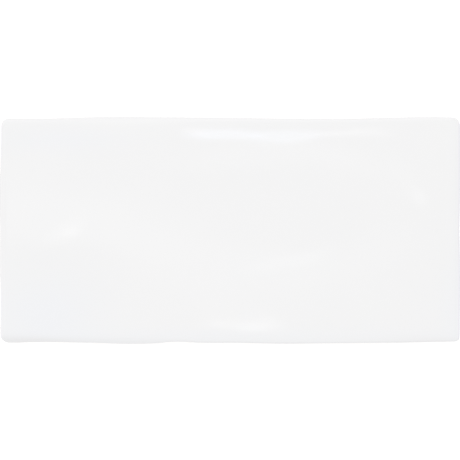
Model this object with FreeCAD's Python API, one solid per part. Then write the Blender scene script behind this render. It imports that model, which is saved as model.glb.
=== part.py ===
import FreeCAD, Part
import math
import os

# Glazed ceramic wall tile in the 150 x 75 mm subway format, with the uneven look of a hand-made tile.
#
# The tile is one fired piece. It lies on its back with its glazed face up: X runs along its length,
# Y along its width, and Z up from the ribs of the back to the face. The origin is the middle of the
# back. Near is the long edge on the -Y side, and far the one on the +Y side. All sizes are in mm.
#
# The die that presses the body gives it four wavy edges, a face of low swells and hollows that rolls
# off towards the rim, side walls that lean in towards the back, and a waffle of ribs that the
# adhesive keys into.

Vector = FreeCAD.Vector

# Overall sizes: the means of the wavy edges, and the height of a face with no swell in it.
TILE_LENGTH = 150.0
TILE_WIDTH = 73.5
FACE_HEIGHT = 8.0

# Radius of each corner, seen from above.
NEAR_LEFT_RADIUS = 2.8
NEAR_RIGHT_RADIUS = 1.6
FAR_RIGHT_RADIUS = 3.0
FAR_LEFT_RADIUS = 2.7

# Each edge's wave, as pairs: a place along the edge, from -1 to 1 between the ends of the tile,
# and how far the edge bulges out from its mean line there. The first and last pairs are the corners.
NEAR_WAVE = [
    (-1.00, 0.00), (-0.82, -0.28), (-0.62, -0.03), (-0.45, 0.35), (-0.33, 0.18),
    (-0.235, -0.36), (-0.12, 0.00), (0.04, 0.02), (0.21, 0.27), (0.38, 0.20),
    (0.58, 0.08), (0.76, -0.08), (1.00, -0.42),
]
RIGHT_WAVE = [(-1.00, -0.05), (-0.70, 0.02), (-0.40, 0.12), (0.00, -0.12), (0.35, 0.08), (1.00, 0.10)]
FAR_WAVE = [
    (-1.00, -0.20), (-0.80, -0.24), (-0.55, 0.32), (-0.33, 0.24), (-0.10, 0.12), (0.12, -0.10),
    (0.32, -0.28), (0.52, -0.26), (0.68, 0.06), (0.85, 0.28), (1.00, 0.24),
]
LEFT_WAVE = [
    (-1.00, 0.00), (-0.65, -0.14), (-0.30, 0.10), (0.00, 0.02), (0.32, 0.20), (0.60, -0.06),
    (1.00, -0.24),
]

# The face rolls off over a band along its edges, by a power of the way across the band.
ROLL_WIDTH = 2.4
ROLL_DROP = 0.28
ROLL_POWER = 2.2
# Low swells and hollows: place along X and Y from -1 to 1, reach along X and Y, and rise. The last
# six shape the edges, most of all the near edge, which falls away towards its left corner.
FACE_SWELLS = [
    (-0.70, 0.05, 24.0, 16.0, 0.16),
    (-0.80, -0.62, 20.0, 14.0, -0.14),
    (0.26, 0.22, 34.0, 16.0, -0.10),
    (0.30, -0.30, 30.0, 12.0, 0.12),
    (0.80, 0.28, 16.0, 18.0, 0.12),
    (0.78, -0.55, 20.0, 16.0, -0.10),
    (-0.97, -1.04, 15.0, 2.6, -1.35),
    (-0.66, -1.04, 36.0, 1.9, -1.20),
    (0.90, -1.04, 20.0, 2.8, -0.42),
    (1.02, -0.05, 2.1, 34.0, -0.45),
    (-0.48, 1.04, 13.0, 3.8, -0.24),
    (0.92, 1.04, 14.0, 2.2, 0.22),
]
# The face is a surface through a grid of points, which stand closer together in a band along the
# edges and reach past them by a margin.
FACE_GRID_STEP = 4.0
EDGE_GRID_STEP = 1.1
EDGE_GRID_BAND = 4.5
FACE_GRID_MARGIN = 3.0

# The rim where the face turns down into the side walls, how far below the face the walls stay
# upright, clear of the rim at its lowest corner, and the walls' lean and lower bevel.
RIM_RADIUS = 1.0
SHOULDER_DEPTH = 3.5
WALL_LEAN = 0.35
BACK_BEVEL = 0.6
# How far the pressed blank stands above the face before it is cut back.
BLANK_ALLOWANCE = 1.0

# The waffle of ribs on the back: pockets with leaning walls, inside a plain border.
KEY_DEPTH = 0.7
KEY_BORDER = 5.0
KEY_PITCH = 11.5
KEY_RIB_WIDTH = 2.2
KEY_WALL_LEAN = 0.35
KEY_CORNER_CUT = 1.0

HALF_LENGTH = TILE_LENGTH / 2
HALF_WIDTH = TILE_WIDTH / 2


def corner(x, y, radius, inset, height, start_angle):
    """A rounded corner of the outline whose sharp corner would lie at x, y, as a quarter circle.

    It runs counter-clockwise seen from above, from the first of the two edges to the second.
    """
    side_x = math.copysign(1, x)
    side_y = math.copysign(1, y)
    centre = Vector(x - side_x * radius, y - side_y * radius, height)
    ends = []
    for turn in (0, 45, 90):
        angle = math.radians(start_angle + turn)
        ends.append(centre + Vector(math.cos(angle), math.sin(angle), 0) * (radius - inset))
    return Part.Arc(*ends).toShape()


def wavy_edge(start, end, inner, direction):
    """A spline from start to end through the inner points, which leaves and arrives along direction."""
    curve = Part.BSplineCurve()
    curve.interpolate(Points=[start, *inner, end], InitialTangent=direction, FinalTangent=direction)
    return curve.toShape()


def outline(inset, height):
    """The tile's closed outline at a height, drawn in by an inset from where it is widest."""
    left = [-HALF_LENGTH - bulge for place, bulge in LEFT_WAVE]
    right = [HALF_LENGTH + bulge for place, bulge in RIGHT_WAVE]
    near = [-HALF_WIDTH - bulge for place, bulge in NEAR_WAVE]
    far = [HALF_WIDTH + bulge for place, bulge in FAR_WAVE]

    near_left = corner(left[0], near[0], NEAR_LEFT_RADIUS, inset, height, 180)
    near_right = corner(right[0], near[-1], NEAR_RIGHT_RADIUS, inset, height, 270)
    far_right = corner(right[-1], far[-1], FAR_RIGHT_RADIUS, inset, height, 0)
    far_left = corner(left[-1], far[0], FAR_LEFT_RADIUS, inset, height, 90)

    near_points = [
        Vector(place * HALF_LENGTH, y + inset, height) for (place, bulge), y in zip(NEAR_WAVE, near)
    ]
    right_points = [
        Vector(x - inset, place * HALF_WIDTH, height) for (place, bulge), x in zip(RIGHT_WAVE, right)
    ]
    far_points = [
        Vector(place * HALF_LENGTH, y - inset, height) for (place, bulge), y in zip(FAR_WAVE, far)
    ]
    left_points = [
        Vector(x + inset, place * HALF_WIDTH, height) for (place, bulge), x in zip(LEFT_WAVE, left)
    ]

    def between(first, second, inner, direction):
        return wavy_edge(first.Vertexes[-1].Point, second.Vertexes[0].Point, inner, direction)

    return Part.Wire([
        near_left, between(near_left, near_right, near_points[1:-1], Vector(1, 0, 0)),
        near_right, between(near_right, far_right, right_points[1:-1], Vector(0, 1, 0)),
        far_right, between(far_right, far_left, far_points[-2:0:-1], Vector(-1, 0, 0)),
        far_left, between(far_left, near_left, left_points[-2:0:-1], Vector(0, -1, 0)),
    ])


def blank():
    """The pressed body, with leaning walls and a bevelled back. Its top still stands above the face."""
    return Part.makeLoft(
        [
            outline(WALL_LEAN + BACK_BEVEL, 0.0),
            outline(WALL_LEAN, BACK_BEVEL),
            outline(0.0, FACE_HEIGHT - SHOULDER_DEPTH),
            outline(0.0, FACE_HEIGHT + BLANK_ALLOWANCE),
        ],
        True,
        True,
    )


def face_height(x, y):
    """Height of the glazed face above the back, before its rim is rounded."""
    height = FACE_HEIGHT
    for place_x, place_y, reach_x, reach_y, rise in FACE_SWELLS:
        away_x = (x - place_x * HALF_LENGTH) / reach_x
        away_y = (y - place_y * HALF_WIDTH) / reach_y
        height += rise * math.exp(-away_x ** 2 - away_y ** 2)
    for inside in (HALF_LENGTH - abs(x), HALF_WIDTH - abs(y)):
        height -= ROLL_DROP * max(0.0, 1 - inside / ROLL_WIDTH) ** ROLL_POWER
    return height


def grid_places(half_span):
    """Places from one side of the tile to the other, closer together along its edges and past them."""
    inner = half_span - EDGE_GRID_BAND
    outer = half_span + FACE_GRID_MARGIN
    inner_steps = math.ceil(2 * inner / FACE_GRID_STEP)
    edge_steps = math.ceil((outer - inner) / EDGE_GRID_STEP)
    middle = [inner * (2 * step / inner_steps - 1) for step in range(inner_steps + 1)]
    edge = [inner + (outer - inner) * step / edge_steps for step in range(1, edge_steps + 1)]
    return [-place for place in reversed(edge)] + middle + edge


def space_above_face():
    """The solid space over the face, which the blank is cut back by."""
    places_y = grid_places(HALF_WIDTH)
    points = [[Vector(x, y, face_height(x, y)) for y in places_y] for x in grid_places(HALF_LENGTH)]
    surface = Part.BSplineSurface()
    surface.interpolate(points)
    return surface.toShape().extrude(Vector(0, 0, FACE_HEIGHT))


def cut_cornered_rectangle(centre_x, centre_y, half_x, half_y, cut, height):
    """A closed wire around a rectangle whose corners are cut off."""
    quarter = [(half_x, half_y - cut), (half_x - cut, half_y)]
    around = quarter
    around = around + [(-x, y) for x, y in reversed(quarter)]
    around = around + [(-x, -y) for x, y in quarter]
    around = around + [(x, -y) for x, y in reversed(quarter)]
    points = [Vector(centre_x + x, centre_y + y, height) for x, y in around]
    return Part.makePolygon([*points, points[0]])


def key_pockets():
    """The pockets between the ribs of the back. An even number each way makes ribs cross in the middle."""
    plain = WALL_LEAN + BACK_BEVEL + KEY_BORDER
    field_x = TILE_LENGTH - 2 * plain + KEY_RIB_WIDTH
    field_y = TILE_WIDTH - 2 * plain + KEY_RIB_WIDTH
    columns = 2 * round(field_x / KEY_PITCH / 2)
    rows = 2 * round(field_y / KEY_PITCH / 2)
    pitch_x = field_x / columns
    pitch_y = field_y / rows
    half_x = (pitch_x - KEY_RIB_WIDTH) / 2
    half_y = (pitch_y - KEY_RIB_WIDTH) / 2
    pockets = []
    for column in range(columns):
        for row in range(rows):
            x = (column + 0.5) * pitch_x - field_x / 2
            y = (row + 0.5) * pitch_y - field_y / 2
            mouth = cut_cornered_rectangle(x, y, half_x, half_y, KEY_CORNER_CUT, 0.0)
            floor = cut_cornered_rectangle(
                x, y, half_x - KEY_WALL_LEAN, half_y - KEY_WALL_LEAN, KEY_CORNER_CUT, KEY_DEPTH
            )
            pockets.append(Part.makeLoft([mouth, floor], True, True))
    return pockets


def wall_tile():
    """The whole tile: the blank cut back to its face, its rim rounded and its back keyed."""
    body = blank().cut(space_above_face())
    face = max(body.Faces, key=lambda candidate: candidate.CenterOfMass.z)
    body = body.makeFillet(RIM_RADIUS, face.Edges)
    return body.cut(key_pockets())


os.makedirs("parts", exist_ok=True)
wall_tile().exportStep("parts/wall_tile.step")
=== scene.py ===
import functools
import math

import bmesh
import bpy
from mathutils import Matrix, Vector, noise


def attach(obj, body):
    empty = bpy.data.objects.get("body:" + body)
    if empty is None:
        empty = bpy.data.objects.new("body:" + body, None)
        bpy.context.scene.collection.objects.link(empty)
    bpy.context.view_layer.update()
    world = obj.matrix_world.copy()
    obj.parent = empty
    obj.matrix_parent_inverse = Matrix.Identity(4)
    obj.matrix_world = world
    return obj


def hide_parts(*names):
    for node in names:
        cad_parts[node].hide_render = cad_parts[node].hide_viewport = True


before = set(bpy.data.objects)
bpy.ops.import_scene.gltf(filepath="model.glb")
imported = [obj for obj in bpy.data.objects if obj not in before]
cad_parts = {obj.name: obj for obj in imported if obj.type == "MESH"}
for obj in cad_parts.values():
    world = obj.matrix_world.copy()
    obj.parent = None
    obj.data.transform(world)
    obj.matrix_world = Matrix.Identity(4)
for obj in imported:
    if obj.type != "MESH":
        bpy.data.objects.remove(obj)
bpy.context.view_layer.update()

# The wall tile.
# One piece of pale clay, pressed in a die with a wavy rim, glazed over its face and rim, and fired
# once more. It lies on the keyed back that the adhesive grips, and its glazed face looks up.

# Sizes in millimetres, as in the part's source. The mesh is made in them and scaled at its end.
METRES = 0.001
TILE_LENGTH = 150.0
TILE_WIDTH = 73.5
FACE_HEIGHT = 8.0
HALF_SIZES = (TILE_LENGTH / 2, TILE_WIDTH / 2)

# Radius of each corner seen from above, by its side along X and along Y.
CORNER_RADII = {(-1, -1): 2.8, (1, -1): 1.6, (1, 1): 3.0, (-1, 1): 2.7}

# Each edge's wave, by the axis that the edge runs along and its side across that axis: a place
# along the edge, from -1 to 1, and how far the edge bulges out there.
EDGE_WAVES = {
    (0, -1): [
        (-1.00, 0.00), (-0.82, -0.28), (-0.62, -0.03), (-0.45, 0.35), (-0.33, 0.18),
        (-0.235, -0.36), (-0.12, 0.00), (0.04, 0.02), (0.21, 0.27), (0.38, 0.20),
        (0.58, 0.08), (0.76, -0.08), (1.00, -0.42),
    ],
    (1, 1): [(-1.00, -0.05), (-0.70, 0.02), (-0.40, 0.12), (0.00, -0.12), (0.35, 0.08), (1.00, 0.10)],
    (0, 1): [
        (-1.00, -0.20), (-0.80, -0.24), (-0.55, 0.32), (-0.33, 0.24), (-0.10, 0.12), (0.12, -0.10),
        (0.32, -0.28), (0.52, -0.26), (0.68, 0.06), (0.85, 0.28), (1.00, 0.24),
    ],
    (1, -1): [
        (-1.00, 0.00), (-0.65, -0.14), (-0.30, 0.10), (0.00, 0.02), (0.32, 0.20), (0.60, -0.06),
        (1.00, -0.24),
    ],
}

# The face rolls off along its edges, and has low swells and hollows, of which the last six shape its
# edges: place along X and Y from -1 to 1, reach along X and Y, and rise.
ROLL_WIDTH = 2.4
ROLL_DROP = 0.28
ROLL_POWER = 2.2
FACE_SWELLS = [
    (-0.70, 0.05, 24.0, 16.0, 0.16),
    (-0.80, -0.62, 20.0, 14.0, -0.14),
    (0.26, 0.22, 34.0, 16.0, -0.10),
    (0.30, -0.30, 30.0, 12.0, 0.12),
    (0.80, 0.28, 16.0, 18.0, 0.12),
    (0.78, -0.55, 20.0, 16.0, -0.10),
    (-0.97, -1.04, 15.0, 2.6, -1.35),
    (-0.66, -1.04, 36.0, 1.9, -1.20),
    (0.90, -1.04, 20.0, 2.8, -0.42),
    (1.02, -0.05, 2.1, 34.0, -0.45),
    (-0.48, 1.04, 13.0, 3.8, -0.24),
    (0.92, 1.04, 14.0, 2.2, 0.22),
]
# The glaze stands in ripples of its own on top of them.
RIPPLE_LENGTH = 13.0
RIPPLE_HEIGHT = 0.006

# The rim, the side walls that lean in from a shoulder below the face, and the bevel at the back.
RIM_RADIUS = 1.0
SHOULDER_DEPTH = 3.5
WALL_LEAN = 0.35
BACK_BEVEL = 0.6

# The glaze ends part of the way down the walls, in a lip that stands proud of the bare clay. The
# height of its end wanders in long and short waves, and a few runs hang lower.
GLAZE_END = 3.3
GLAZE_END_WANDER = 0.7
LONG_WANDER_LENGTH = 17.0
SHORT_WANDER_LENGTH = 5.0
SHORT_WANDER_SHARE = 0.4
GLAZE_RUN = 1.6
RUN_SPACING = 6.5
RUN_PATTERN = Vector((0, 0, 7))
RUN_THRESHOLD = 0.22
RUN_RAMP = 0.4
GLAZE_THICKNESS = 0.20
GLAZE_BEAD = 0.10
BEAD_CLOSENESS = 6

# The keys of the back, and how far the arrises of their ribs are worn soft.
KEY_DEPTH = 0.7
KEY_BORDER = 5.0
KEY_PITCH = 11.5
KEY_RIB_WIDTH = 2.2
KEY_WALL_LEAN = 0.35
KEY_CORNER_CUT = 1.0
KEY_ARRIS = 0.14

# How fine the mesh is: cells of the face along X and Y, and rings from the face down to the back.
# The rings of the glazed wall crowd together towards the glaze's end, and those of the bevel towards
# its two edges, at shares of its height.
FACE_CELLS = (240, 116)
FACE_MARGIN = 3.0
MARGIN_RINGS = 8
RIM_RINGS = 12
GLAZED_WALL_RINGS = 12
GLAZED_RING_CROWDING = 1.5
LIP_ANGLES = (30, 60, 90)
BARE_WALL_RINGS = 4
BEVEL_RING_SHARES = (0.9, 0.5, 0.1, 0.0)
KEY_CORNER_STEPS = 4
KEY_ARRIS_STEPS = 2
SHARP_ANGLE = 32


def corner_bulge(axis, side, end):
    """How far an edge bulges out at one of its ends."""
    return EDGE_WAVES[axis, side][0 if end < 0 else -1][1]


def corner_radius(axis, side, end):
    """Radius of the corner at one end of an edge."""
    return CORNER_RADII[(end, side) if axis == 0 else (side, end)]


@functools.cache
def edge_knots(axis, side):
    """An edge's wave in millimetres, from the end of one corner's arc to the start of the next."""
    half = HALF_SIZES[axis]
    knots = [(place * half, bulge) for place, bulge in EDGE_WAVES[axis, side]]
    for index, end in ((0, -1), (-1, 1)):
        reach = half + corner_bulge(1 - axis, end, side) - corner_radius(axis, side, end)
        knots[index] = (end * reach, knots[index][1])
    return knots


def edge_line(axis, side, place):
    """How far an edge lies from the middle of the tile at a place along it, as a smooth curve."""
    knots = edge_knots(axis, side)
    place = min(max(place, knots[0][0]), knots[-1][0])
    index = 0
    while place > knots[index + 1][0]:
        index += 1

    def slope(knot):
        if knot in (0, len(knots) - 1):
            return 0.0
        before, after = knots[knot - 1], knots[knot + 1]
        return (after[1] - before[1]) / (after[0] - before[0])

    span = knots[index + 1][0] - knots[index][0]
    t = (place - knots[index][0]) / span
    bulge = (
        knots[index][1] * (2 * t ** 3 - 3 * t ** 2 + 1)
        + knots[index + 1][1] * (3 * t ** 2 - 2 * t ** 3)
        + slope(index) * span * (t ** 3 - 2 * t ** 2 + t)
        + slope(index + 1) * span * (t ** 3 - t ** 2)
    )
    return HALF_SIZES[1 - axis] + bulge


@functools.cache
def outline_point(u, v, inset):
    """A point of the tile's outline, drawn in by an inset, for a point on the border of a square."""
    axis, place = (0, u) if abs(v) >= abs(u) else (1, v)
    side = math.copysign(1, v if axis == 0 else u)

    centres = []
    radii = []
    for end in (-1, 1):
        radius = corner_radius(axis, side, end)
        reach = max(radius, inset)
        across = side * (HALF_SIZES[1 - axis] + corner_bulge(axis, side, end) - reach)
        centres.append(end * (edge_line(1 - axis, end, across) - reach))
        radii.append(max(radius - inset, 0.0))

    half_arcs = [radius * math.pi / 4 for radius in radii]
    straight = centres[1] - centres[0]
    way = (place + 1) / 2 * (half_arcs[0] + straight + half_arcs[1]) - half_arcs[0]
    end = 0 if way < straight / 2 else 1
    beyond = -way if end == 0 else way - straight
    if beyond > 0 and radii[end] > 0:
        angle = beyond / radii[end]
        shift = radii[end] * math.sin(angle)
        along = centres[end] + (shift if end else -shift)
        drop = radii[end] * (1 - math.cos(angle))
        across = edge_line(axis, side, centres[end]) - inset - drop
    else:
        along = centres[0] + way
        across = edge_line(axis, side, along) - inset
    return Vector((along, side * across)) if axis == 0 else Vector((side * across, along))


def square_place(vert):
    """A vertex's place on the square that the outline is drawn from, free of rounding errors."""
    return round(vert.co.x, 6), round(vert.co.y, 6)


def face_point(u, v):
    """A point inside the outline, for a point of a square: the four borders blended into a patch."""
    def edge_point(u, v):
        return outline_point(u, v, FACE_MARGIN)

    a, b = (u + 1) / 2, (v + 1) / 2
    rows = edge_point(u, -1.0) * (1 - b) + edge_point(u, 1.0) * b
    columns = edge_point(-1.0, v) * (1 - a) + edge_point(1.0, v) * a
    near_corners = edge_point(-1.0, -1.0) * (1 - a) + edge_point(1.0, -1.0) * a
    far_corners = edge_point(-1.0, 1.0) * (1 - a) + edge_point(1.0, 1.0) * a
    return rows + columns - near_corners * (1 - b) - far_corners * b


def heaped(x, y, heaps):
    """Sums low round heaps at a point."""
    total = 0.0
    for place_x, place_y, reach_x, reach_y, rise in heaps:
        away_x = (x - place_x * HALF_SIZES[0]) / reach_x
        away_y = (y - place_y * HALF_SIZES[1]) / reach_y
        total += rise * math.exp(-away_x ** 2 - away_y ** 2)
    return total


def face_height(x, y):
    """Height of the glazed face above the back, before its rim is rounded."""
    height = FACE_HEIGHT + heaped(x, y, FACE_SWELLS)
    for inside in (HALF_SIZES[0] - abs(x), HALF_SIZES[1] - abs(y)):
        height -= ROLL_DROP * max(0.0, 1 - inside / ROLL_WIDTH) ** ROLL_POWER
    return height + RIPPLE_HEIGHT * noise.noise(Vector((x, y, 0)) / RIPPLE_LENGTH)


@functools.cache
def rim_start(u, v):
    """Where the rounded rim leaves the face: the inset, the face's tilt, and the arc's centre height.

    The inset and the tilt depend on each other, so both are found in a few rounds from a first guess.
    """
    probe = 0.1
    tilt = 0.2
    for _ in range(5):
        inset = RIM_RADIUS * (1 - math.sin(tilt))
        inner = face_height(*outline_point(u, v, inset + probe))
        outer = face_height(*outline_point(u, v, inset - probe))
        tilt = math.atan((inner - outer) / (2 * probe))
    height = face_height(*outline_point(u, v, inset)) - RIM_RADIUS * math.cos(tilt)
    return inset, tilt, height


def wall_inset(height):
    """How far the side wall stands in from the outline at a height."""
    shoulder = FACE_HEIGHT - SHOULDER_DEPTH
    lean = WALL_LEAN * max(0.0, shoulder - height) / (shoulder - BACK_BEVEL)
    return min(lean, WALL_LEAN) + max(0.0, BACK_BEVEL - height)


@functools.cache
def glaze_end(u, v):
    """Height at which the glaze ends on the wall, with a few runs that hang lower."""
    point = outline_point(u, v, 0.0).to_3d()
    long_wave = noise.noise(point / LONG_WANDER_LENGTH)
    short_wave = noise.noise(point / SHORT_WANDER_LENGTH)
    wander = long_wave + SHORT_WANDER_SHARE * short_wave
    run = max(0.0, noise.noise(point / RUN_SPACING + RUN_PATTERN) - RUN_THRESHOLD) / RUN_RAMP
    return GLAZE_END + GLAZE_END_WANDER * wander - GLAZE_RUN * min(run, 1.0)


def margin_ring(step):
    """A ring of the face between its grid and the rounded rim."""
    def place(u, v):
        start = rim_start(u, v)[0]
        point = outline_point(u, v, FACE_MARGIN + (start - FACE_MARGIN) * step / MARGIN_RINGS)
        return point.x, point.y, face_height(*point)
    return place


def rim_ring(step):
    """A ring of the rounded rim, from the face over to the wall."""
    def place(u, v):
        inset, tilt, height = rim_start(u, v)
        angle = tilt + (math.pi / 2 - tilt) * step / RIM_RINGS
        point = outline_point(u, v, RIM_RADIUS * (1 - math.sin(angle)))
        return point.x, point.y, height + RIM_RADIUS * math.cos(angle)
    return place


def glazed_wall_ring(step):
    """A ring of the glazed wall. The glaze thickens to a bead towards its end."""
    def place(u, v):
        top = rim_start(u, v)[2]
        share = 1 - (1 - step / GLAZED_WALL_RINGS) ** GLAZED_RING_CROWDING
        height = top + (glaze_end(u, v) + GLAZE_THICKNESS - top) * share
        bead = GLAZE_BEAD * math.sin(math.pi * share ** BEAD_CLOSENESS)
        point = outline_point(u, v, max(wall_inset(height) - bead, 0.0))
        return point.x, point.y, height
    return place


def lip_ring(angle):
    """A ring of the rounded lip in which the glaze ends."""
    def place(u, v):
        height = glaze_end(u, v) + GLAZE_THICKNESS * (1 - math.sin(math.radians(angle)))
        inset = wall_inset(height) + GLAZE_THICKNESS * (1 - math.cos(math.radians(angle)))
        point = outline_point(u, v, inset)
        return point.x, point.y, height
    return place


def bare_wall_ring(height_share, extra_height=0.0):
    """A ring of the bare wall, at a share of the way from the glaze down to the bevel at the back."""
    def place(u, v):
        height = glaze_end(u, v) + (BACK_BEVEL - glaze_end(u, v)) * height_share + extra_height
        point = outline_point(u, v, wall_inset(height) + GLAZE_THICKNESS)
        return point.x, point.y, height
    return place


# The mesh starts as the grid of the face. Each vertex keeps its place on the grid's square, across
# and up, and so do the rings that are grown from its border.
GLAZE, BISCUIT = 0, 1

tile_mesh = bmesh.new()
across_layer = tile_mesh.verts.layers.float.new("across")
up_layer = tile_mesh.verts.layers.float.new("up")
bmesh.ops.create_grid(tile_mesh, x_segments=FACE_CELLS[0], y_segments=FACE_CELLS[1], size=1.0)
for vert in tile_mesh.verts:
    u, v = square_place(vert)
    vert[across_layer], vert[up_layer] = u, v
    point = face_point(u, v)
    vert.co = (point.x, point.y, face_height(*point))


def grow(edges, place, material):
    """Extrudes the open border of the tile's mesh to its next ring, and returns the new border."""
    grown = bmesh.ops.extrude_edge_only(tile_mesh, edges=edges)["geom"]
    for part in grown:
        if isinstance(part, bmesh.types.BMVert):
            part.co = place(part[across_layer], part[up_layer])
        elif isinstance(part, bmesh.types.BMFace):
            part.material_index = material
    return [part for part in grown if isinstance(part, bmesh.types.BMEdge) and part.is_boundary]


border = [edge for edge in tile_mesh.edges if edge.is_boundary]
for step in range(1, MARGIN_RINGS + 1):
    border = grow(border, margin_ring(step), GLAZE)
for step in range(1, RIM_RINGS + 1):
    border = grow(border, rim_ring(step), GLAZE)
for step in range(1, GLAZED_WALL_RINGS + 1):
    border = grow(border, glazed_wall_ring(step), GLAZE)
for angle in LIP_ANGLES:
    border = grow(border, lip_ring(angle), GLAZE)
for step in range(1, BARE_WALL_RINGS + 1):
    border = grow(border, bare_wall_ring(step / BARE_WALL_RINGS), BISCUIT)
for share in BEVEL_RING_SHARES:
    border = grow(border, bare_wall_ring(1.0, BACK_BEVEL * share - BACK_BEVEL), BISCUIT)

# The keys of the back: cells between ribs, sunk into the clay, with soft corners and arrises.
plain = WALL_LEAN + BACK_BEVEL + KEY_BORDER
key_field = [2 * (half - plain) + KEY_RIB_WIDTH for half in HALF_SIZES]
key_counts = [2 * round(size / KEY_PITCH / 2) for size in key_field]
key_reach = [half - plain + KEY_RIB_WIDTH for half in HALF_SIZES]
grid = bmesh.ops.create_grid(
    tile_mesh, x_segments=key_counts[0], y_segments=key_counts[1], size=0.5,
    matrix=Matrix.Diagonal((key_field[0], key_field[1], -1.0, 1.0)),
)
cells = list({face for vert in grid["verts"] for face in vert.link_faces})
bmesh.ops.reverse_faces(tile_mesh, faces=cells)
bmesh.ops.inset_individual(tile_mesh, faces=cells, thickness=KEY_RIB_WIDTH / 2)
bmesh.ops.inset_individual(tile_mesh, faces=cells, thickness=KEY_WALL_LEAN, depth=-KEY_DEPTH)

# How the edges of the keys are told from the rest: by height, and by the lean of their faces.
HEIGHT_SLACK = 0.001
FLAT_FACE = 0.99
LEANING_FACE = 0.8


def among_keys(edge):
    """Whether an edge lies in the field of the keys, inside the plain border of the back."""
    return all(abs(vert.co.x) < key_reach[0] and abs(vert.co.y) < key_reach[1] for vert in edge.verts)


def runs_down_a_corner(edge):
    """Whether an edge runs from the back to the floor of a key, where two of its walls meet."""
    low, high = sorted(vert.co.z for vert in edge.verts)
    return low < HEIGHT_SLACK and abs(high - KEY_DEPTH) < HEIGHT_SLACK and among_keys(edge)


def is_arris(edge):
    """Whether an edge is where a wall of a key meets the flat top of a rib."""
    if len(edge.link_faces) != 2 or any(abs(vert.co.z) > HEIGHT_SLACK for vert in edge.verts):
        return False
    leans = [abs(face.normal.z) for face in edge.link_faces]
    return max(leans) > FLAT_FACE and min(leans) < LEANING_FACE and among_keys(edge)


def soften(edges, width, steps):
    """Rounds edges of the tile's mesh over a width."""
    bmesh.ops.bevel(
        tile_mesh, geom=edges, offset=width, offset_type="OFFSET", segments=steps,
        affect="EDGES", profile=0.5, material=-1,
    )


soften([edge for edge in tile_mesh.edges if runs_down_a_corner(edge)], KEY_CORNER_CUT, KEY_CORNER_STEPS)
open_edges = [edge for edge in tile_mesh.edges if edge.is_boundary]
bmesh.ops.triangle_fill(tile_mesh, edges=open_edges, use_beauty=True)
tile_mesh.normal_update()
for face in tile_mesh.faces:
    if face.calc_center_median().z < KEY_DEPTH + HEIGHT_SLACK:
        face.material_index = BISCUIT
soften([edge for edge in tile_mesh.edges if is_arris(edge)], KEY_ARRIS, KEY_ARRIS_STEPS)
bmesh.ops.recalc_face_normals(tile_mesh, faces=tile_mesh.faces)

# Where the glaze is bluer and darker: partly real pooling in the hollows, partly painted cool shade
# there and along the near and right edges. Place along X and Y from -1 to 1, reach along X and Y, and
# how much.
GLAZE_POOLS_AND_SHADE = [
    (-0.80, -0.75, 17.0, 12.0, 0.9),
    (-0.75, 0.80, 22.0, 4.0, 0.55),
    (0.97, -0.75, 5.0, 14.0, 0.45),
    (1.00, -0.20, 2.6, 40.0, 0.35),
    (0.00, -0.95, 90.0, 3.0, 0.45),
]
# Where it is darker: at these places and over the rim by its tilt in degrees, most of all along the far
# edge, partly from glaze drawn thin and partly as painted shade; and in a band above its end on the
# walls, where the glaze is thinnest.
GLAZE_THIN_AND_SHADE_PLACES = [
    (-0.85, -1.00, 14.0, 1.9, 1.00),
    (0.88, -1.00, 14.0, 1.9, 0.60),
    (-0.70, 1.00, 24.0, 1.3, 0.30),
    (0.00, 1.00, 200.0, 1.4, 0.38),
]
THIN_AND_SHADED_RIM_TILT = 50
THIN_AND_SHADED_RIM_REACH = 40
WALL_TILT = 70
GLAZE_THIN_BAND = 1.1
THINNESS_AT_END = 2.2

pool_and_shade_layer = tile_mesh.verts.layers.float.new("glaze_pool_and_shade")
thin_and_shade_layer = tile_mesh.verts.layers.float.new("glaze_thin_and_shade")
for vert in tile_mesh.verts:
    x, y, z = vert.co
    # Painted cool shade: the pool attribute tints the hollows and the near and right edges bluer and
    # darker.
    vert[pool_and_shade_layer] = min(1.0, heaped(x, y, GLAZE_POOLS_AND_SHADE))
    # Painted shade: the thin attribute darkens the rim by its tilt, most along the far edge, and at the
    # listed places.
    tilt = vert.normal.angle(Vector((0, 0, 1)))
    off_shaded_tilt = abs(tilt - math.radians(THIN_AND_SHADED_RIM_TILT)) / math.radians(THIN_AND_SHADED_RIM_REACH)
    towards_far_edge = (1 + y / HALF_SIZES[1]) / 2
    thin_and_shade = max(0.0, 1 - off_shaded_tilt) * towards_far_edge + heaped(x, y, GLAZE_THIN_AND_SHADE_PLACES)
    above_end = z - glaze_end(vert[across_layer], vert[up_layer]) if z > BACK_BEVEL else 0.0
    on_wall = tilt > math.radians(WALL_TILT)
    near_end = max(0.0, 1 - above_end / GLAZE_THIN_BAND) if on_wall else 0.0
    vert[thin_and_shade_layer] = max(min(1.0, thin_and_shade), THINNESS_AT_END * near_end ** 2)
for face in tile_mesh.faces:
    face.smooth = True
bmesh.ops.scale(tile_mesh, vec=(METRES, METRES, METRES), verts=tile_mesh.verts)
tile_data = bpy.data.meshes.new("glazed_wall_tile")
tile_mesh.to_mesh(tile_data)
tile_mesh.free()
tile_data.set_sharp_from_angle(angle=math.radians(SHARP_ANGLE))
tile = bpy.data.objects.new("glazed_wall_tile", tile_data)
bpy.context.scene.collection.objects.link(tile)


def node_tree(material):
    """A material's nodes and links, and its Principled BSDF."""
    material.use_nodes = True
    nodes, links = material.node_tree.nodes, material.node_tree.links
    return nodes, links, nodes["Principled BSDF"]


def sum_node(nodes, operation, clamp=False):
    """A node that works out one sum, and may hold its result between 0 and 1."""
    node = nodes.new("ShaderNodeMath")
    node.operation = operation
    node.use_clamp = clamp
    return node


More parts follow.
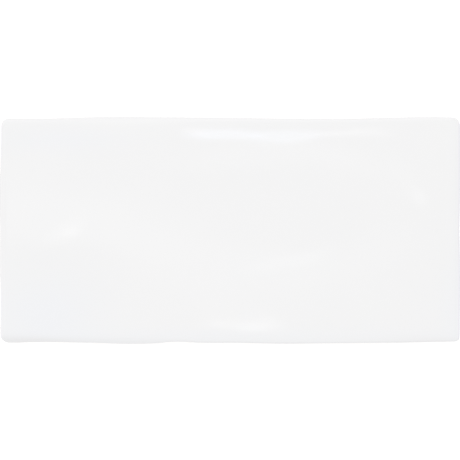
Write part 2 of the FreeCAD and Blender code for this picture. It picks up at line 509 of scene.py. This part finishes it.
def fired_mottle_group():
    """Clouds, grain or specks of two tones, as in fired clay and glaze: a mask from 0 to 1."""
    group = bpy.data.node_groups.new("fired_mottle", "ShaderNodeTree")
    for name in ("Size", "Contrast", "Level", "Detail"):
        group.interface.new_socket(name, in_out="INPUT", socket_type="NodeSocketFloat")
    group.interface.new_socket("Mask", in_out="OUTPUT", socket_type="NodeSocketFloat")
    nodes, links = group.nodes, group.links
    inputs, outputs = nodes.new("NodeGroupInput"), nodes.new("NodeGroupOutput")
    place = nodes.new("ShaderNodeTexCoord")
    density = sum_node(nodes, "DIVIDE")
    density.inputs[0].default_value = 1.0
    clouds = nodes.new("ShaderNodeTexNoise")
    clouds.inputs["Roughness"].default_value = 0.55
    centre = sum_node(nodes, "SUBTRACT")
    centre.inputs[1].default_value = 0.5
    stretch = sum_node(nodes, "MULTIPLY_ADD", clamp=True)
    links.new(inputs.outputs["Size"], density.inputs[1])
    links.new(density.outputs[0], clouds.inputs["Scale"])
    links.new(inputs.outputs["Detail"], clouds.inputs["Detail"])
    links.new(place.outputs["Object"], clouds.inputs["Vector"])
    links.new(clouds.outputs["Fac"], centre.inputs[0])
    links.new(centre.outputs[0], stretch.inputs[0])
    links.new(inputs.outputs["Contrast"], stretch.inputs[1])
    links.new(inputs.outputs["Level"], stretch.inputs[2])
    links.new(stretch.outputs[0], outputs.inputs["Mask"])
    return group


mottle = fired_mottle_group()


def add_mottle(nodes, size, contrast, level=0.5, detail=4.0):
    """Places the mottle in a material, and returns its mask. A low level leaves only specks."""
    node = nodes.new("ShaderNodeGroup")
    node.node_tree = mottle
    node.inputs["Size"].default_value = size
    node.inputs["Contrast"].default_value = contrast
    node.inputs["Level"].default_value = level
    node.inputs["Detail"].default_value = detail
    return node.outputs["Mask"]


def mix_colour(nodes, links, mask, first, second):
    """Mixes two colours, or outputs, by a mask."""
    mix = nodes.new("ShaderNodeMix")
    mix.data_type = "RGBA"
    links.new(mask, mix.inputs["Factor"])
    colour_sockets = [socket for socket in mix.inputs if socket.type == "RGBA"]
    for socket, colour in zip(colour_sockets, (first, second)):
        if isinstance(colour, bpy.types.NodeSocket):
            links.new(colour, socket)
        else:
            socket.default_value = (*colour, 1.0)
    return next(socket for socket in mix.outputs if socket.type == "RGBA")


def relief(nodes, links, height, distance, strength):
    """Raises the surface where a mask is high, by a distance in metres, and returns the node."""
    bump = nodes.new("ShaderNodeBump")
    bump.inputs["Strength"].default_value = strength
    bump.inputs["Distance"].default_value = distance
    links.new(height, bump.inputs["Height"])
    return bump


# The glaze: white and glossy, a little bluer where it pools and with painted cool shade along its near
# and right edges, darker where it drew thin and with painted shade over its rims, warmer at its end,
# and with the faintest orange peel.
GLAZE_WHITE = (0.886, 0.884, 0.886)
GLAZE_CLOUD = (0.879, 0.878, 0.881)
GLAZE_POOLED_AND_SHADED = (0.864, 0.872, 0.894)
GLAZE_THIN_AND_SHADED = (0.851, 0.847, 0.853)
GLAZE_ENDING = (0.835, 0.815, 0.785)
GLAZE_IOR = 1.5
GLAZE_ROUGHNESS = (0.022, 0.036)
PEEL_HEIGHT = 0.0000010

glaze = bpy.data.materials.new("white_gloss_glaze")
nodes, links, shader = node_tree(glaze)
pool_and_shade_attribute = nodes.new("ShaderNodeAttribute")
pool_and_shade_attribute.attribute_name = "glaze_pool_and_shade"
thin_and_shade_attribute = nodes.new("ShaderNodeAttribute")
thin_and_shade_attribute.attribute_name = "glaze_thin_and_shade"
over_rim = nodes.new("ShaderNodeClamp")
links.new(thin_and_shade_attribute.outputs["Fac"], over_rim.inputs["Value"])
ending = nodes.new("ShaderNodeMapRange")
ending.inputs["From Min"].default_value = 1.0
ending.inputs["From Max"].default_value = THINNESS_AT_END
links.new(thin_and_shade_attribute.outputs["Fac"], ending.inputs["Value"])
clouds = add_mottle(nodes, size=0.024, contrast=2.5)
colour = mix_colour(nodes, links, clouds, GLAZE_WHITE, GLAZE_CLOUD)
# Painted cool shade, together with real pooling, comes in through the pool attribute.
colour = mix_colour(nodes, links, pool_and_shade_attribute.outputs["Fac"], colour, GLAZE_POOLED_AND_SHADED)
# Painted shade over the rims, together with real thin glaze, comes in through the thin attribute.
colour = mix_colour(nodes, links, over_rim.outputs["Result"], colour, GLAZE_THIN_AND_SHADED)
colour = mix_colour(nodes, links, ending.outputs["Result"], colour, GLAZE_ENDING)
links.new(colour, shader.inputs["Base Color"])
shader.inputs["IOR"].default_value = GLAZE_IOR
gloss = nodes.new("ShaderNodeMapRange")
gloss.inputs["To Min"].default_value, gloss.inputs["To Max"].default_value = GLAZE_ROUGHNESS
links.new(add_mottle(nodes, size=0.009, contrast=2.0), gloss.inputs["Value"])
links.new(gloss.outputs["Result"], shader.inputs["Roughness"])
ripples = add_mottle(nodes, size=0.0045, contrast=1.0, detail=1.0)
peel = relief(nodes, links, ripples, PEEL_HEIGHT, 1.0)
links.new(peel.outputs["Normal"], shader.inputs["Normal"])

# The bare clay of the lower walls and the back: a dull cream biscuit, with grit, a few dark specks,
# pits and grain.
BISCUIT_PALE = (0.79, 0.745, 0.685)
BISCUIT_DARK = (0.70, 0.645, 0.575)
BISCUIT_GRIT = (0.66, 0.60, 0.53)
BISCUIT_SPECK = (0.40, 0.33, 0.27)
BISCUIT_ROUGHNESS = 0.9
PIT_DEPTH = 0.00030
GRAIN_HEIGHT = 0.00008

biscuit = bpy.data.materials.new("bare_biscuit")
nodes, links, shader = node_tree(biscuit)
clouds = add_mottle(nodes, size=0.008, contrast=2.4)
grit = add_mottle(nodes, size=0.0003, contrast=3.4, level=0.15, detail=1.0)
specks = add_mottle(nodes, size=0.0008, contrast=14.0, level=-3.3, detail=0.0)
colour = mix_colour(nodes, links, clouds, BISCUIT_PALE, BISCUIT_DARK)
colour = mix_colour(nodes, links, grit, colour, BISCUIT_GRIT)
colour = mix_colour(nodes, links, specks, colour, BISCUIT_SPECK)
links.new(colour, shader.inputs["Base Color"])
shader.inputs["Roughness"].default_value = BISCUIT_ROUGHNESS
pit_mask = add_mottle(nodes, size=0.0011, contrast=4.0, level=-0.75, detail=0.0)
pits = relief(nodes, links, pit_mask, PIT_DEPTH, 0.8)
pits.invert = True
grain = relief(nodes, links, add_mottle(nodes, size=0.0004, contrast=1.8), GRAIN_HEIGHT, 0.6)
links.new(pits.outputs["Normal"], grain.inputs["Normal"])
links.new(grain.outputs["Normal"], shader.inputs["Normal"])

tile.data.materials.append(glaze)
tile.data.materials.append(biscuit)
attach(tile, "root")
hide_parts("wall_tile")

# The studio floor.
# A wide white sheet that keeps a soft shadow. It is open under the tile and clear from below, so
# that the keyed back shows from there.
FLOOR_CLEARANCE = 0.1
FLOOR_OPENING_INSET = WALL_LEAN + BACK_BEVEL + GLAZE_THICKNESS + FLOOR_CLEARANCE
FLOOR_OPENING_CELLS = (80, 40)
FLOOR_SPREAD = (40.0, 80.0, 1.0)
FLOOR_DROP = 0.00002
FLOOR_WHITE = (0.90, 0.90, 0.90)
FLOOR_GLOW = 0.36


def glow_where_seen(nodes, links, glow, fill):
    """A strength that is glow for what the camera and reflections see, and fill for plain light."""
    path = nodes.new("ShaderNodeLightPath")
    direct_or_glossy = sum_node(nodes, "ADD")
    seen = sum_node(nodes, "ADD", clamp=True)
    strength = nodes.new("ShaderNodeMapRange")
    strength.inputs["To Min"].default_value = fill
    strength.inputs["To Max"].default_value = glow
    links.new(path.outputs["Is Camera Ray"], direct_or_glossy.inputs[0])
    links.new(path.outputs["Is Glossy Ray"], direct_or_glossy.inputs[1])
    links.new(direct_or_glossy.outputs[0], seen.inputs[0])
    links.new(path.outputs["Is Transmission Ray"], seen.inputs[1])
    links.new(seen.outputs[0], strength.inputs["Value"])
    return strength.outputs["Result"]


floor_mesh = bmesh.new()
bmesh.ops.create_grid(
    floor_mesh, x_segments=FLOOR_OPENING_CELLS[0], y_segments=FLOOR_OPENING_CELLS[1], size=1.0
)
opening = list(floor_mesh.faces)
around = [edge for edge in floor_mesh.edges if edge.is_boundary]
for vert in {vert for edge in around for vert in edge.verts}:
    point = outline_point(*square_place(vert), FLOOR_OPENING_INSET)
    vert.co = (point.x * METRES, point.y * METRES, -FLOOR_DROP)
grown = bmesh.ops.extrude_edge_only(floor_mesh, edges=around)["geom"]
outer = [part for part in grown if isinstance(part, bmesh.types.BMVert)]
bmesh.ops.scale(floor_mesh, vec=FLOOR_SPREAD, verts=outer)
bmesh.ops.delete(floor_mesh, geom=opening, context="FACES")
for face in floor_mesh.faces:
    face.normal_update()
    if face.normal.z < 0:
        face.normal_flip()
floor_data = bpy.data.meshes.new("studio_floor")
floor_mesh.to_mesh(floor_data)
floor_mesh.free()
floor = bpy.data.objects.new("studio_floor", floor_data)
bpy.context.scene.collection.objects.link(floor)
floor_white = bpy.data.materials.new("studio_white")
nodes, links, shader = node_tree(floor_white)
shader.inputs["Base Color"].default_value = (*FLOOR_WHITE, 1.0)
shader.inputs["Roughness"].default_value = 1.0
shader.inputs["Specular IOR Level"].default_value = 0.0
shader.inputs["Emission Color"].default_value = (1.0, 1.0, 1.0, 1.0)
links.new(glow_where_seen(nodes, links, FLOOR_GLOW, 0.0), shader.inputs["Emission Strength"])
surface = nodes.new("ShaderNodeNewGeometry")
from_below = nodes.new("ShaderNodeBsdfTransparent")
sided = nodes.new("ShaderNodeMixShader")
links.new(surface.outputs["Backfacing"], sided.inputs["Fac"])
links.new(shader.outputs["BSDF"], sided.inputs[1])
links.new(from_below.outputs["BSDF"], sided.inputs[2])
links.new(sided.outputs["Shader"], nodes["Material Output"].inputs["Surface"])
floor.data.materials.append(floor_white)

# The room.
# White walls all round, which fill the shadows a little less than they glow where the camera and
# reflections see them.
ROOM_FILL = 0.917

world = bpy.data.worlds.new("studio_room")
bpy.context.scene.world = world
world.use_nodes = True
nodes, links = world.node_tree.nodes, world.node_tree.links
room = nodes["Background"]
room.inputs["Color"].default_value = (1.0, 1.0, 1.0, 1.0)
links.new(glow_where_seen(nodes, links, 1.0, ROOM_FILL), room.inputs["Strength"])

# The lamps.
# One weak large lamp from the far left, and small ones above the camera, which show in the face as
# faint streaks and patches. Each is an oval that fades out over a share of its width.
LAMP_FADE = 0.6
RING_HEIGHT = 1.2
DAYLIGHT = (0.86, 1.0, 1.28)
NEUTRAL = (1.0, 1.0, 1.0)
# The small lamps: name, place over the tile, size, radiance, turn in degrees, and colour.
RING_LAMPS = [
    ("streak_far_start", (-0.030, 0.0815), (0.038, 0.0095), 0.85, -24, NEUTRAL),
    ("streak_far_left", (-0.004, 0.0741), (0.084, 0.0135), 1.42, -5.5, DAYLIGHT),
    ("streak_far_right", (0.044, 0.0708), (0.082, 0.020), 1.18, 3, DAYLIGHT),
    ("streak_far_tail", (0.094, 0.0770), (0.095, 0.007), 1.1, 11.5, NEUTRAL),
    ("sheen_far", (0.030, 0.108), (0.230, 0.056), 0.24, 0, NEUTRAL),
    ("patch_far", (0.036, 0.052), (0.200, 0.034), 0.28, 0, NEUTRAL),
    ("streak_near", (0.010, -0.0803), (0.090, 0.0070), 1.02, -3.5, NEUTRAL),
    ("streak_near_core", (0.020, -0.0812), (0.028, 0.0050), 0.58, -3.5, NEUTRAL),
    ("patch_left", (-0.142, 0.007), (0.274, 0.120), 0.37, 0, NEUTRAL),
    ("glint_left", (-0.135, -0.011), (0.105, 0.038), 0.30, 50, NEUTRAL),
    ("glint_left_core", (-0.130, -0.012), (0.028, 0.022), 0.55, 50, NEUTRAL),
    ("patch_middle", (0.034, -0.031), (0.296, 0.120), 0.28, 0, NEUTRAL),
    ("glint_middle", (0.047, -0.013), (0.120, 0.038), 0.34, 25, NEUTRAL),
    ("glint_right", (0.153, 0.026), (0.036, 0.026), 0.45, -50, NEUTRAL),
    ("glint_right_tail", (0.137, 0.044), (0.090, 0.034), 0.15, -50, NEUTRAL),
]


def soft_edge(data):
    """Fades a lamp out towards its rim, so that its reflection has no hard outline."""
    middle, rim = (0.5, 0.5, 0.0), 0.5
    data.use_nodes = True
    nodes, links = data.node_tree.nodes, data.node_tree.links
    surface = nodes.new("ShaderNodeNewGeometry")
    centred = nodes.new("ShaderNodeVectorMath")
    centred.operation = "SUBTRACT"
    centred.inputs[1].default_value = middle
    away = nodes.new("ShaderNodeVectorMath")
    away.operation = "LENGTH"
    fade = nodes.new("ShaderNodeMapRange")
    fade.interpolation_type = "SMOOTHSTEP"
    fade.inputs["From Min"].default_value = rim
    fade.inputs["From Max"].default_value = rim * (1 - LAMP_FADE)
    links.new(surface.outputs["Parametric"], centred.inputs[0])
    links.new(centred.outputs["Vector"], away.inputs[0])
    links.new(away.outputs["Value"], fade.inputs["Value"])
    links.new(fade.outputs["Result"], nodes["Emission"].inputs["Strength"])


def soft_lamp(name, place, size, radiance, turn=0.0, colour=NEUTRAL):
    """An oval lamp that faces the tile, turned about its own axis. Its power follows its area."""
    data = bpy.data.lights.new(name, "AREA")
    data.shape = "ELLIPSE"
    data.size, data.size_y = size
    data.energy = radiance * math.pi * size[0] * size[1] * math.pi / 4
    data.color = colour
    soft_edge(data)
    lamp = bpy.data.objects.new(name, data)
    lamp.location = place
    aim = Vector((0, 0, 1)).rotation_difference(Vector(place)).to_matrix()
    lamp.rotation_euler = (aim @ Matrix.Rotation(math.radians(turn), 3, "Z")).to_euler()
    bpy.context.scene.collection.objects.link(lamp)


soft_lamp("key_upper_left", place=(-0.68, 1.89, 2.23), size=(5.2, 5.2), radiance=0.52)
for name, (x, y), size, radiance, turn, colour in RING_LAMPS:
    soft_lamp(name, (x, y, RING_HEIGHT), size, radiance, turn, colour)

# The camera.
# It looks straight down, from as far as a long lens on a copy stand. The frame is as wide as the
# photograph's at the height where the tile's walls show widest, and is centred as the photograph's.
SENSOR_WIDTH = 36.0
CAMERA_HEIGHT = 0.8
FRAME_WIDTH = 0.15035
SILHOUETTE_HEIGHT = 0.0055
FRAME_CENTRE = (-0.000032, 0.000113)

camera_data = bpy.data.cameras.new("copy_stand_camera")
camera_data.sensor_width = SENSOR_WIDTH
camera_data.lens = SENSOR_WIDTH * CAMERA_HEIGHT / FRAME_WIDTH
camera = bpy.data.objects.new("copy_stand_camera", camera_data)
camera.location = (*FRAME_CENTRE, SILHOUETTE_HEIGHT + CAMERA_HEIGHT)
bpy.context.scene.collection.objects.link(camera)
bpy.context.scene.camera = camera
bpy.context.scene.view_settings.view_transform = "Standard"
